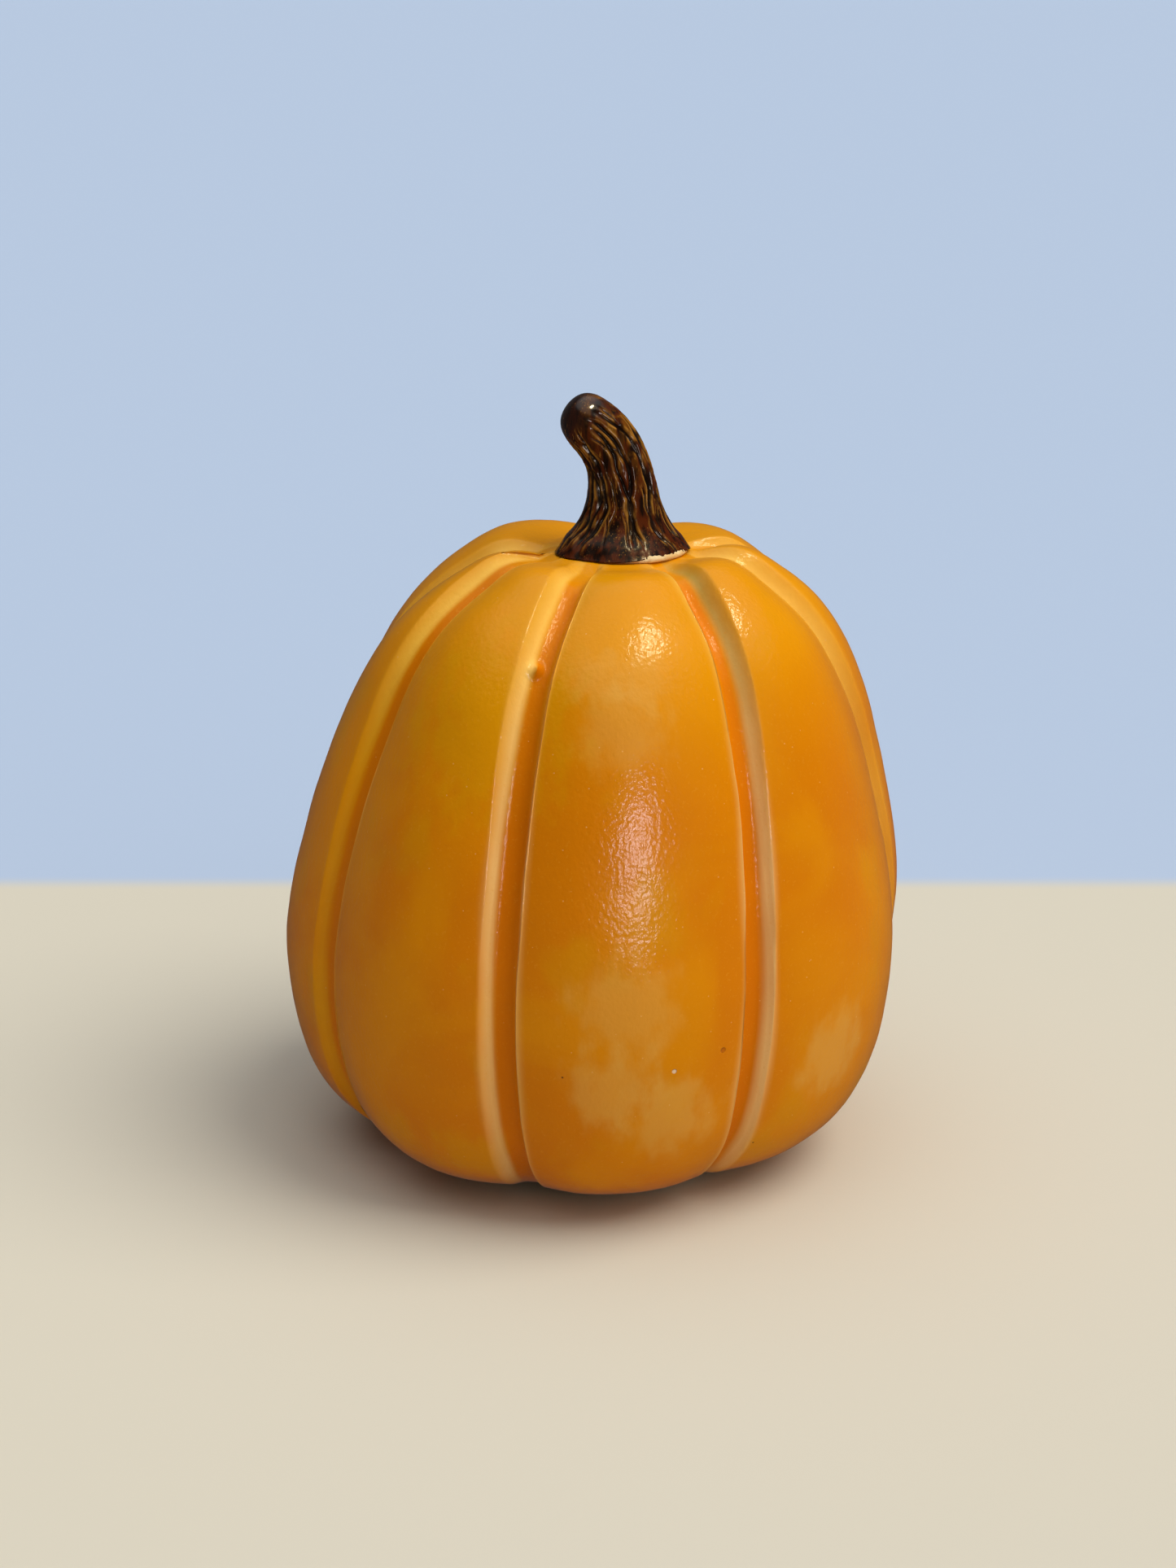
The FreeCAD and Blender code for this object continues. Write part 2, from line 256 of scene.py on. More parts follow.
def cut_beside(groove, side, up, crown, from_middle):
    """One half of a groove's cut: how deep it is in millimetres, and, each 0 to 1, how much it is
    on the floor, how pale its thin glaze is and that glaze's tint.  Side is 0 on the left."""
    depth, *reaches = CUT_SIZES[groove % LOBES]
    at_middle, at_crown = CUT_WALLS[groove % LOBES][side]
    uneven = 1.0 + WALL_WAVER * wander(groove, up, 2 + side)
    wall = (at_middle + (at_crown - at_middle) * crown) * uneven
    floor = reaches[side] - CROWN_NARROWING * crown + FLOOR_WAVER * wander(groove, up, 5)
    widening = 1.0 + PALE_WIDENING * crown + PALE_WAVER * wander(groove, up, 7 + side)
    spread = PALE_WIDTHS[groove % LOBES][side] * widening
    beyond = from_middle - floor[:, None]
    deep = depth * (1.0 - smooth_step(beyond / wall[:, None]))
    on_floor = 1.0 - smooth_step((beyond + FLOOR_MARGIN) / FLOOR_SOFTNESS)
    fading = (1.0 - np.clip(beyond / spread[:, None], 0.0, 1.0)) ** PALE_FADING
    pale = smooth_step(beyond / PALE_START) * fading
    tint = PALE_TINTS[groove % LOBES][side]
    vigour = FAINTEST_PALE + (1.0 - FAINTEST_PALE) * np.maximum(tint, crown)
    pale = np.clip(PALE_STRENGTH * pale * vigour[:, None], 0.0, 1.0)
    return deep, on_floor, pale, np.full_like(pale, tint)


def skin(line, rows, cut):
    """Rings of points for one lobed skin, foot first, and for each point how much it is on a cut's
    floor, how pale its glaze is, and the tint of that paleness."""
    crowding = DROP_CROWDING if cut else 0.0
    crest, normals, along = profile_rows(
        line, rows, lambda height: crowding * hump(height, DROP_HEIGHT, DROP_REACH))
    up = crest[:, 1] / SEAT_HEIGHT
    from_end = along[-1] - along
    at_foot = smooth_step(along / FADE_AT_FOOT)
    fade = at_foot * smooth_step(from_end / FADE_AT_SEAT)
    crown = smooth_step((up - CROWN_STARTS) / CROWN_SPAN)
    shallower = DEPTH_LOST * (1.0 - smooth_step(from_end / DEPTH_LOST_RUN))
    strength = at_foot * smooth_step(from_end / CUT_END_RUN) * (1.0 - shallower)
    floor_ends = smooth_step((from_end - FLOOR_COLOUR_GAP) / FLOOR_COLOUR_RUN)
    pale_ends = PALE_AT_SEAT + (1.0 - PALE_AT_SEAT) * smooth_step(from_end / PALE_SEAT_RUN)
    across = column_shares()
    valley = VALLEY_ROUNDING ** LOBE_FULLNESS
    rise = (np.hypot(np.sin(math.pi * across), VALLEY_ROUNDING) ** LOBE_FULLNESS - valley) / (1.0 - valley)
    nears_next = across > 0.5
    parts = {"points": [], "floor": [], "edge": [], "tint": []}
    for lobe in range(LOBES):
        start = groove_azimuth(lobe, up)
        width = groove_azimuth(lobe + 1, up) - start
        azimuth = np.radians(start[:, None] + across[None] * width[:, None])
        foot_swell, crown_swell = LOBE_SWELLS[lobe]
        proud = (foot_swell + (crown_swell - foot_swell) * up)[:, None]
        height = ((LOBE_DEPTH + proud) * rise[None] - LOBE_DEPTH) * fade[:, None]

        spacing = np.radians(width)[:, None] * crest[:, :1]
        after = cut_beside(lobe, 1, up, crown, across[None] * spacing)
        before = cut_beside(lobe + 1, 0, up, crown, (1.0 - across)[None] * spacing)
        deep, on_floor, pale, tint = [np.where(nears_next[None], *both) for both in zip(before, after)]
        if cut:
            height = height - deep * strength[:, None]

        radius = crest[:, :1] + normals[:, :1] * height
        level = crest[:, 1:] + normals[:, 1:] * height
        lean_x, lean_y = lean(level)
        points = np.stack([lean_x + radius * np.sin(azimuth), lean_y - radius * np.cos(azimuth),
                           FOOT_PLANE + level], axis=2)
        parts["points"].append(points)
        parts["floor"].append(on_floor * (at_foot * floor_ends)[:, None])
        parts["edge"].append(pale * (at_foot * pale_ends)[:, None])
        parts["tint"].append(tint)
    return {name: np.concatenate(values, axis=1) for name, values in parts.items()}


# ------------------------------------------------------------------ meshes from rings


def closed_mesh(name, rings, first_pole, last_pole):
    """A closed mesh: rings of points one above another, with a pole at each end.  Rings run
    anticlockwise seen from +Z and go upward."""
    rows, columns = rings.shape[:2]
    points = np.vstack([rings.reshape(-1, 3), [first_pole], [last_pole]]) * MM
    here = np.arange(columns)
    beyond = np.roll(here, -1)
    faces = []
    for row in range(rows - 1):
        low, high = row * columns, (row + 1) * columns
        faces += np.column_stack([low + here, low + beyond, high + beyond, high + here]).tolist()
    first, last = rows * columns, rows * columns + 1
    top = (rows - 1) * columns
    faces += np.column_stack([beyond, here, np.full(columns, first)]).tolist()
    faces += np.column_stack([top + here, top + beyond, np.full(columns, last)]).tolist()
    mesh = bpy.data.meshes.new(name)
    mesh.from_pydata(points.tolist(), [], faces)
    mesh.shade_smooth()
    piece = bpy.data.objects.new(name, mesh)
    bpy.context.scene.collection.objects.link(piece)
    return piece


def give(piece, name, ring_values, first=0.0, last=0.0):
    """A number for each point of a closed mesh, which its material reads by name."""
    values = np.concatenate([np.asarray(ring_values, float).ravel(), [first, last]])
    attribute = piece.data.attributes.new(name, "FLOAT", "POINT")
    attribute.data.foreach_set("value", values.astype(np.float32))


def flat_ring(radius, height, azimuths, centre=(0.0, 0.0)):
    """A level circle at these azimuths, in degrees round from the front."""
    turn = np.radians(azimuths)
    return np.column_stack([centre[0] + radius * np.sin(turn), centre[1] - radius * np.cos(turn),
                            np.full(len(turn), float(height))])


# ------------------------------------------------------------------ the body

# Size and depth of the unevenness that hands leave, in millimetres, and a seed.
HAND_WORK = [(24.0, 0.40, 11), (9.0, 0.13, 12), (3.2, 0.04, 13)]
HAND_LOSS = 0.60


def surface_normals(points):
    """Rough outward normals of rings of points, from their neighbours."""
    around = np.roll(points, -1, axis=1) - np.roll(points, 1, axis=1)
    up = np.gradient(points, axis=0)
    normals = np.cross(around, up)
    return normals / np.maximum(np.linalg.norm(normals, axis=2), 1e-9)[..., None]


def work_by_hand(points, fade):
    """Points pushed in and out a little, as pressed clay and uneven glaze are, and all of them
    slightly in, so that the skin stays inside the CAD's."""
    flat = points.reshape(-1, 3)
    push = sum(depth * lumps(flat, size, seed) for size, depth, seed in HAND_WORK) - HAND_LOSS
    return points + surface_normals(points) * (push.reshape(points.shape[:2]) * fade)[..., None]


def spot_on(points, azimuth, height):
    """The point of the skin at this azimuth, in degrees, and height above the floor."""
    row = points[int(np.argmin(abs(points[:, 0, 2] - height)))]
    middle_x, middle_y = lean(height - FOOT_PLANE)
    bearing = np.degrees(np.arctan2(row[:, 0] - middle_x, middle_y - row[:, 1]))
    return row[int(np.argmin(abs(bearing - azimuth)))]


def add_drop(points):
    """A drop of glaze caught in the front left groove."""
    place = spot_on(points, DROP_AZIMUTH, DROP_HEIGHT)
    drop = np.linalg.norm(points - place, axis=2)
    push = DROP_PUSH * hump(drop, 0.0, DROP_RADIUS)
    return points + surface_normals(points) * push[..., None]


def make_body():
    """The hollow body: outer skin, foot with its wiped hollow, kiln vent and inner cavity, as one
    closed surface that starts in the roof of the cavity and ends under the stem."""
    fine = np.linspace(0.0, 1.0, 1600)
    bed = np.column_stack([np.linspace(SEAT_RADIUS, BED_RADIUS, 40)[1:], np.full(39, SEAT_HEIGHT)])
    outer = skin(np.vstack([spline(crest_poles(), fine), bed]), SKIN_ROWS, True)
    inner = skin(spline(cavity_poles(), fine), CAVITY_ROWS, False)
    rows = np.linspace(0.0, 1.0, SKIN_ROWS)[:, None]
    ends = smooth_step(rows / 0.05) * smooth_step((1.0 - rows) / 0.04)
    outside = add_drop(work_by_hand(outer["points"], ends))

    azimuths = []
    for lobe in range(LOBES):
        start = groove_azimuth(lobe, 0.0)
        azimuths.append(start + column_shares() * (groove_azimuth(lobe + 1, 0.0) - start))
    azimuths = np.concatenate(azimuths)
    ceiling = FOOT_PLANE + RECESS_DEPTH
    cavity_floor = FOOT_PLANE + WALL
    underside = [(VENT_RADIUS, cavity_floor), (VENT_RADIUS, ceiling + 0.3), (VENT_RADIUS + 0.3, ceiling),
                 (RECESS_RADIUS - 1.6, ceiling), (RECESS_RADIUS - 0.3, FOOT_PLANE + 0.3),
                 (RECESS_RADIUS, FOOT_PLANE), (0.5 * (RECESS_RADIUS + FOOT_RADIUS), FOOT_PLANE)]
    foot = np.array([flat_ring(radius, height, azimuths) for radius, height in underside])
    cavity = inner["points"][::-1]
    rings = np.concatenate([cavity, foot, outside])
    body = closed_mesh("pumpkin_body", rings, cavity[0].mean(axis=0), outside[-1].mean(axis=0))

    blank = np.zeros((len(cavity) + len(foot), rings.shape[1]))
    for name in ("floor", "edge", "tint"):
        give(body, name, np.concatenate([blank, outer[name]]))
    circle = [(math.cos(turn), math.sin(turn), 0.0) for turn in np.radians(azimuths)]
    glaze_line = 0.02 + 0.008 * lumps(circle, 0.3, 4)
    glazed = smooth_step((rows - glaze_line[None]) / 0.008)
    give(body, "glazed", np.concatenate([blank, glazed]), first=0.0, last=1.0)
    return body, outside


# ------------------------------------------------------------------ the stem

# Poles of the stem's form, from the base up: height, sideways bend and radius of a section in
# millimetres, and its tilt towards -X in degrees.
STEM_SECTIONS = [
    (0.0, 0.0, 9.7, 0), (0.8, 0.0, 9.0, 0), (2.0, 0.0, 7.6, 0), (3.7, 0.0, 6.4, 2),
    (6.2, -0.05, 5.4, 4), (9.0, -0.15, 4.95, 6), (12.0, -0.7, 4.6, 12), (15.0, -2.2, 4.55, 26),
    (17.0, -4.1, 4.35, 38), (18.4, -5.6, 3.95, 45), (19.6, -6.8, 3.45, 46), (20.6, -7.7, 2.0, 47),
    (20.7, -7.8, 0.2, 47),
]
STEM_COLUMNS = 440
STEM_ROWS = 190
# The stem's hem hangs this far below its base, except where it is lifted and bares the slip.
HEM_DROP = 0.7
HEM_LIFT_AZIMUTH = 42.0
HEM_LIFT_SPREAD = 0.68
# Families of carved lines: how many, their depth and half width in millimetres, the share of the
# stem's length where they start and end, and how many degrees they slant over its whole length.
CARVED_LINES = [
    (15, 0.50, 0.33, (0.00, 0.06), (0.72, 0.97), 16),
    (11, 0.36, 0.22, (0.00, 0.30), (0.40, 0.88), 24),
    (14, 0.22, 0.15, (0.00, 0.04), (0.10, 0.30), 30),
    (9, 0.28, 0.17, (0.45, 0.65), (0.72, 0.93), 70),
    (18, 0.12, 0.10, (0.00, 0.80), (0.10, 0.95), 26),
]


def carve(turn, share, radius):
    """For each point of the stem: how deep it is carved in millimetres, how much it is in a
    carved line, and how much it is on the crisp edge beside one, both 0 to 1."""
    chance = np.random.default_rng(5)
    depth = np.zeros((len(share), len(turn)))
    inside = np.zeros_like(depth)
    beside = np.zeros_like(depth)
    for count, cut, half_width, starts, ends, slant in CARVED_LINES:
        for number in range(count):
            base = 2.0 * math.pi * (number + chance.uniform(-0.42, 0.42)) / count
            start = starts[0] + (starts[1] - starts[0]) * chance.uniform()
            end = max(start + 0.08, ends[0] + (ends[1] - ends[0]) * chance.uniform())
            tilt = math.radians(slant) * chance.uniform(-1.0, 1.0)
            waves = 0.0
            for waviness, sway in ((1.3, 0.10), (2.9, 0.045), (6.5, 0.018)):
                waves = waves + sway * np.sin(2.0 * math.pi * (waviness * share + chance.uniform()))
            path = base + tilt * (share - 0.5) + waves
            gap = np.angle(np.exp(1j * (turn[None] - path[:, None]))) * radius[:, None]
            ease = smooth_step((share - start) / 0.05) * smooth_step((end - share) / 0.09)
            pressed = ease * (1.0 + 0.3 * np.sin(2.0 * math.pi * (3.3 * share + chance.uniform())))
            line = hump(gap, 0.0, half_width)
            depth = np.maximum(depth, cut * line * pressed[:, None])
            weight = cut / CARVED_LINES[0][1]
            inside = np.maximum(inside, weight ** 0.5 * line * np.clip(pressed, 0.0, 1.0)[:, None])
            edge = hump(abs(gap), 1.75 * half_width, 0.55 * half_width)
            beside = np.maximum(beside, weight ** 0.5 * edge * np.clip(pressed, 0.0, 1.0)[:, None])
    return depth, np.clip(inside, 0.0, 1.0), np.clip(beside, 0.0, 1.0)


def make_stem():
    """The bent stem: fluted at its flare, and carved into strips with a needle tool."""
    table = spline(STEM_SECTIONS, np.linspace(0.0, 1.0, STEM_ROWS))
    height, bend, radius, tilt = table.T
    turn = np.linspace(0.0, 2.0 * math.pi, STEM_COLUMNS, endpoint=False)
    along = np.concatenate([[0.0], np.cumsum(np.hypot(np.diff(height), np.diff(bend)))])
    share = along / along[-1]
    depth, inside, beside = carve(turn, share, radius)

    circle = np.stack([np.cos(turn), np.sin(turn), np.zeros_like(turn)], axis=1)
    around = np.broadcast_to(circle[None], (STEM_ROWS, STEM_COLUMNS, 3)).copy()
    around[..., 2] = 0.05 * along[:, None]
    flutes = lumps(around.reshape(-1, 3), 0.75, 21).reshape(depth.shape)
    around[..., 2] = 0.30 * along[:, None]
    grain = lumps(around.reshape(-1, 3), 0.22, 25).reshape(depth.shape)
    flare = smooth_step((0.42 - share) / 0.35)[:, None]
    tip = smooth_step((1.0 - share) / 0.14)[:, None]
    swell = radius[:, None] * (0.05 + 0.06 * flare) * flutes * tip
    size = radius[:, None] + swell + (0.04 * grain - depth) * (0.3 + 0.7 * tip)

    ragged = 0.5 * lumps(circle, 0.22, 26) + 0.25 * lumps(circle, 0.08, 27)
    lifted = hump(turned_from(turn, HEM_LIFT_AZIMUTH), 0.0, HEM_LIFT_SPREAD)
    hem = -HEM_DROP * (1.0 - 0.95 * lifted) + 0.12 * ragged * lifted
    at_hem = (1.0 - smooth_step(share / 0.07))[:, None]
    size = size + 0.25 * ragged[None] * at_hem

    lift = np.radians(tilt)[:, None]
    x = STEM_X + bend[:, None] + size * np.sin(turn)[None] * np.cos(lift)
    y = STEM_Y - size * np.cos(turn)[None]
    z = STEM_PLANE + height[:, None] + size * np.sin(turn)[None] * np.sin(lift) + hem[None] * at_hem
    rings = np.stack([x, y, z], axis=2)
    base = (STEM_X, STEM_Y, STEM_PLANE - 0.5 * HEM_DROP)
    stem = closed_mesh("pumpkin_stem", rings, base, rings[-1].mean(axis=0))
    give(stem, "carved", inside)
    give(stem, "rim", beside)
    # Painted light: this mask marks the stem's upper right side, which faces the light, and its glaze paints
    # lighter amber there.
    painted_sunlit_side = (0.5 + 0.5 * np.sin(turn - 0.25))[None] ** 1.6 * smooth_step((share - 0.35) / 0.3)[:, None]
    give(stem, "painted_sunlit_side", painted_sunlit_side * tip)
    knob = smooth_step((share - 0.80) / 0.12)
    give(stem, "knob", np.broadcast_to(knob[:, None], depth.shape), last=1.0)
    return stem


# ------------------------------------------------------------------ the slip line

SLIP_COLUMNS = 360
# The bed's radius where the stem hides it, how much further it reaches where it is bare, and where
# that is: the middle and the spread of the bare stretch, round from the front.
SLIP_BACK = 9.1
SLIP_FRONT = 0.75
BARE_AZIMUTH = 42.0
BARE_SPREAD = 0.72


def make_slip_line():
    """The bare bed of slip: a thin ragged rim that shows at the front right."""
    turn = np.linspace(0.0, 2.0 * math.pi, SLIP_COLUMNS, endpoint=False)
    circle = [(math.cos(angle), math.sin(angle), 0.0) for angle in turn]
    ragged = lumps(circle, 0.22, 31) + 0.7 * lumps(circle, 0.06, 32)
    bare = hump(turned_from(turn, BARE_AZIMUTH), 0.0, BARE_SPREAD)
    reach = SLIP_BACK + (SLIP_FRONT + 0.18 * ragged) * bare
    rise = 0.70 + (0.25 + 0.22 * ragged) * bare
    section = [(0.55, 0.0), (0.97, 0.0), (1.0, 0.25), (0.995, 0.6), (0.97, 0.9), (0.94, 1.0), (0.91, 0.9)]
    rings = []
    for out, lift in section:
        x = STEM_X + reach * out * np.sin(turn)
        y = STEM_Y - reach * out * np.cos(turn)
        rings.append(np.column_stack([x, y, SEAT_PLANE + rise * lift]))
    rings.append(flat_ring(0.5 * SLIP_BACK, STEM_PLANE, np.degrees(turn), (STEM_X, STEM_Y)))
    return closed_mesh("slip_line", np.array(rings), (STEM_X, STEM_Y, SEAT_PLANE),
                       (STEM_X, STEM_Y, STEM_PLANE))


# ------------------------------------------------------------------ the felt pads

PAD_COLUMNS = 96


def make_pad(number, node):
    """One felt dot with a soft, slightly furry cut edge."""
    low, high = box_mm(node)
    centre = 0.5 * (low + high)
    radius = 0.5 * (high[0] - low[0])
    thick = high[2] - low[2]
    azimuths = np.linspace(0.0, 360.0, PAD_COLUMNS, endpoint=False)
    section = [(0.35, 0.0), (0.70, 0.0), (0.90, 0.0), (0.96, 0.06), (0.985, 0.2), (0.99, 0.4),
               (0.985, 0.6), (0.98, 0.8), (0.975, 0.95), (0.95, 1.0), (0.5, 1.0)]
    rings = np.array([flat_ring(radius * out, low[2] + thick * up, azimuths, centre[:2])
                      for out, up in section])
    fur = lumps(rings.reshape(-1, 3), 0.45, 40 + number).reshape(rings.shape[:2])
    outward = rings - np.array([centre[0], centre[1], 0.0])
    outward[..., 2] = 0.0
    outward /= np.linalg.norm(outward, axis=2)[..., None]
    edge = np.array([1.0 if 0.9 < out < 0.99 else 0.0 for out, up in section])
    rings = rings + outward * (0.06 * (fur - 1.0) * edge[:, None])[..., None]
    return closed_mesh("felt_dot_%d" % number, rings, (centre[0], centre[1], low[2]),
                       (centre[0], centre[1], high[2]))


# ------------------------------------------------------------------ materials


class Recipe:
    """A material being made: one short method for each kind of node."""

    def __init__(self, name):
        self.material = bpy.data.materials.new(name)
        self.material.use_nodes = True
        self.tree = self.material.node_tree
        self.shader = self.tree.nodes["Principled BSDF"]
        self.place = self.node("ShaderNodeTexCoord").outputs["Object"]

    def node(self, kind, **settings):
        made = self.tree.nodes.new(kind)
        for name, value in settings.items():
            setattr(made, name, value)
        return made

    def feed(self, socket, value):
        if isinstance(value, bpy.types.NodeSocket):
            self.tree.links.new(value, socket)
        elif isinstance(value, (tuple, list)) and socket.type == "RGBA" and len(value) == 3:
            socket.default_value = (*value, 1.0)
        else:
            socket.default_value = value

    def set(self, name, value):
        self.feed(self.shader.inputs[name], value)

    def attribute(self, name):
        return self.node("ShaderNodeAttribute", attribute_name=name).outputs["Fac"]

    def math(self, operation, first, second=0.0, clamp=False):
        made = self.node("ShaderNodeMath", operation=operation, use_clamp=clamp)
        self.feed(made.inputs[0], first)
        self.feed(made.inputs[1], second)
        return made.outputs[0]

    def stretched(self, size, moved=(0.0, 0.0, 0.0)):
        """The place divided by a size in millimetres along each axis."""
        made = self.node("ShaderNodeMapping")
        self.feed(made.inputs["Vector"], self.place)
        made.inputs["Scale"].default_value = tuple(1.0 / (each * MM) for each in size)
        made.inputs["Location"].default_value = moved
        return made.outputs[0]

    def noise(self, size, detail=2.0, roughness=0.5, moved=(0.0, 0.0, 0.0), distortion=0.0):
        """Cloudy noise from 0 to 1; size is a lump in millimetres, or three along X, Y and Z."""
        sizes = size if isinstance(size, tuple) else (size, size, size)
        made = self.node("ShaderNodeTexNoise")
        self.feed(made.inputs["Vector"], self.stretched(sizes, moved))
        made.inputs["Scale"].default_value = 1.0
        made.inputs["Detail"].default_value = detail
        made.inputs["Roughness"].default_value = roughness
        made.inputs["Distortion"].default_value = distortion
        return made.outputs["Fac"]

    def dots(self, spacing, moved=(0.0, 0.0, 0.0)):
        """Distance from the nearest of scattered dots, and a random number for each dot."""
        made = self.node("ShaderNodeTexVoronoi")
        self.feed(made.inputs["Vector"], self.stretched((spacing,) * 3, moved))
        made.inputs["Scale"].default_value = 1.0
        return made.outputs["Distance"], made.outputs["Color"]

    def distance(self, place):
        """How far away a place in millimetres is, in metres."""
        made = self.node("ShaderNodeVectorMath", operation="DISTANCE")
        self.feed(made.inputs[0], self.place)
        made.inputs[1].default_value = tuple(MM * each for each in place)
        return made.outputs["Value"]

    def ease(self, value, low, high):
        """0 below low, 1 above high and a soft step between; low may be above high."""
        made = self.node("ShaderNodeMapRange", interpolation_type="SMOOTHSTEP")
        self.feed(made.inputs["Value"], value)
        made.inputs["From Min"].default_value = min(low, high)
        made.inputs["From Max"].default_value = max(low, high)
        made.inputs["To Min"].default_value = 0.0 if low < high else 1.0
        made.inputs["To Max"].default_value = 1.0 if low < high else 0.0
        return made.outputs["Result"]

    def mix(self, share, first, second):
        """A colour that goes from first to second."""
        made = self.node("ShaderNodeMix", data_type="RGBA")
        self.feed(made.inputs["Factor"], share)
        self.feed(made.inputs[6], first)
        self.feed(made.inputs[7], second)
        return made.outputs[2]

    def blend(self, share, first, second):
        """A number that goes from first to second."""
        made = self.node("ShaderNodeMix", data_type="FLOAT")
        self.feed(made.inputs["Factor"], share)
        self.feed(made.inputs[2], first)
        self.feed(made.inputs[3], second)
        return made.outputs[0]

    def bump(self, height, depth, strength=1.0, under=None):
        made = self.node("ShaderNodeBump")
        self.feed(made.inputs["Height"], height)
        made.inputs["Distance"].default_value = depth * MM
        made.inputs["Strength"].default_value = strength
        if under is not None:
            self.feed(made.inputs["Normal"], under)
        return made.outputs["Normal"]


def orange_glaze(pinholes, patches):
    """Satin orange glaze: cloudy, thin and pale on the cuts' walls, redder where it pools on their
    floors, with fine flecks and an orange-peel skin, and pinholes and thin patches at given places,
    and painted lighter and yellower towards the crown as painted light from above."""
    recipe = Recipe("orange_glaze")
    upward = recipe.node("ShaderNodeSeparateXYZ")
    recipe.feed(upward.inputs[0], recipe.place)
    at_crown = recipe.ease(upward.outputs["Z"], 0.060, 0.094)
    clouds = recipe.noise(24.0, detail=4.0, distortion=0.6)
    colour = recipe.mix(recipe.ease(clouds, 0.36, 0.66), (0.66, 0.190, 0.0002), (0.71, 0.240, 0.0003))
    # Painted light: the glaze is painted lighter and yellower towards the crown, where light from above
    # falls.
    colour = recipe.mix(recipe.math("MULTIPLY", at_crown, 0.75), colour, (0.76, 0.305, 0.0008))
    ochre = recipe.noise((13.0, 13.0, 20.0), detail=3.0, moved=(9.0, 4.0, 2.0))
    colour = recipe.mix(recipe.math("MULTIPLY", recipe.ease(ochre, 0.56, 0.70), 0.45), colour,
                        (0.66, 0.275, 0.0004))
    ragged = recipe.noise((2.6, 2.6, 4.5), detail=4.0, moved=(3.0, 1.0, 8.0))
    for place, radius, strength, patch_colour in patches:
        away = recipe.distance(place)
        apart = recipe.math("DIVIDE", away, radius * MM)
        uneven_rim = recipe.math("ADD", apart, recipe.math("MULTIPLY", ragged, 1.6))
        inside = recipe.math("MULTIPLY", recipe.ease(uneven_rim, 2.0, 1.15), strength)
        colour = recipe.mix(inside, colour, patch_colour)

    uneven = recipe.noise((3.0, 3.0, 9.0), detail=3.0, moved=(1.0, 6.0, 2.0))
    tint = recipe.attribute("tint")
    low_wall = recipe.mix(tint, (0.84, 0.43, 0.012), (0.92, 0.63, 0.26))
    olive = recipe.mix(uneven, (0.42, 0.31, 0.04), (0.62, 0.44, 0.12))
    high_wall = recipe.mix(recipe.ease(tint, 0.83, 0.90), (0.90, 0.51, 0.075), olive)
    thin = recipe.math("MULTIPLY", recipe.attribute("edge"), recipe.blend(uneven, 0.8, 1.3), clamp=True)
    colour = recipe.mix(thin, colour, recipe.mix(at_crown, low_wall, high_wall))
    pooled = recipe.math("MULTIPLY", recipe.attribute("floor"), 0.85)
    colour = recipe.mix(pooled, colour, (0.68, 0.175, 0.0004))

    grain = recipe.noise(0.45, detail=2.0)
    colour = recipe.mix(recipe.math("MULTIPLY", recipe.ease(grain, 0.58, 0.78), 0.28), colour,
                        (0.78, 0.34, 0.03))
    near, chance = recipe.dots(1.7)
    fleck = recipe.math("MULTIPLY", recipe.ease(near, 0.085, 0.035), recipe.ease(chance, 0.52, 0.56))
    colour = recipe.mix(recipe.math("MULTIPLY", fleck, 0.5), colour, (0.85, 0.50, 0.17))
    far, rare = recipe.dots(6.5, moved=(2.0, 5.0, 1.0))
    speck = recipe.math("MULTIPLY", recipe.ease(far, 0.03, 0.015), recipe.ease(rare, 0.66, 0.70))
    colour = recipe.mix(recipe.math("MULTIPLY", speck, 0.8), colour, (0.10, 0.03, 0.004))

    pit = 0.0
    for place, radius, spot_colour in pinholes:
        inside = recipe.ease(recipe.distance(place), radius * MM, 0.6 * radius * MM)
        colour = recipe.mix(recipe.math("MULTIPLY", inside, 0.85), colour, spot_colour)
        pit = recipe.math("ADD", pit, inside)

    glazed = recipe.attribute("glazed")
    clay = recipe.mix(recipe.noise(1.2, detail=4.0), (0.50, 0.34, 0.22), (0.66, 0.49, 0.34))
    recipe.set("Base Color", recipe.mix(glazed, clay, colour))
    rough = recipe.blend(recipe.noise(5.0, detail=4.0), 0.24, 0.42)
    recipe.set("Roughness", recipe.blend(glazed, 0.88, rough))
    # The level is alike on glaze and on bare clay.  It stays a blend of the two, because the export
    # writes a plain number but not a level that comes through a node.
    recipe.set("Specular IOR Level", recipe.blend(glazed, 0.10, 0.10))
    recipe.set("Specular Tint", (1.0, 0.80, 0.30))
    gloss = recipe.blend(recipe.attribute("floor"), 0.25, 0.08)
    recipe.set("Coat Weight", recipe.math("MULTIPLY", glazed, gloss))
    recipe.set("Coat Roughness", 0.13)
    peel = recipe.noise((0.65, 0.65, 0.85))
    recipe.set("Coat Normal", recipe.bump(peel, 0.11, 0.9))
    hollows = recipe.math("MULTIPLY", recipe.math("ADD", pit, speck), -1.0)
    recipe.set("Normal", recipe.bump(hollows, 0.15, 1.0, under=recipe.bump(peel, 0.06, 0.8)))
    return recipe.material


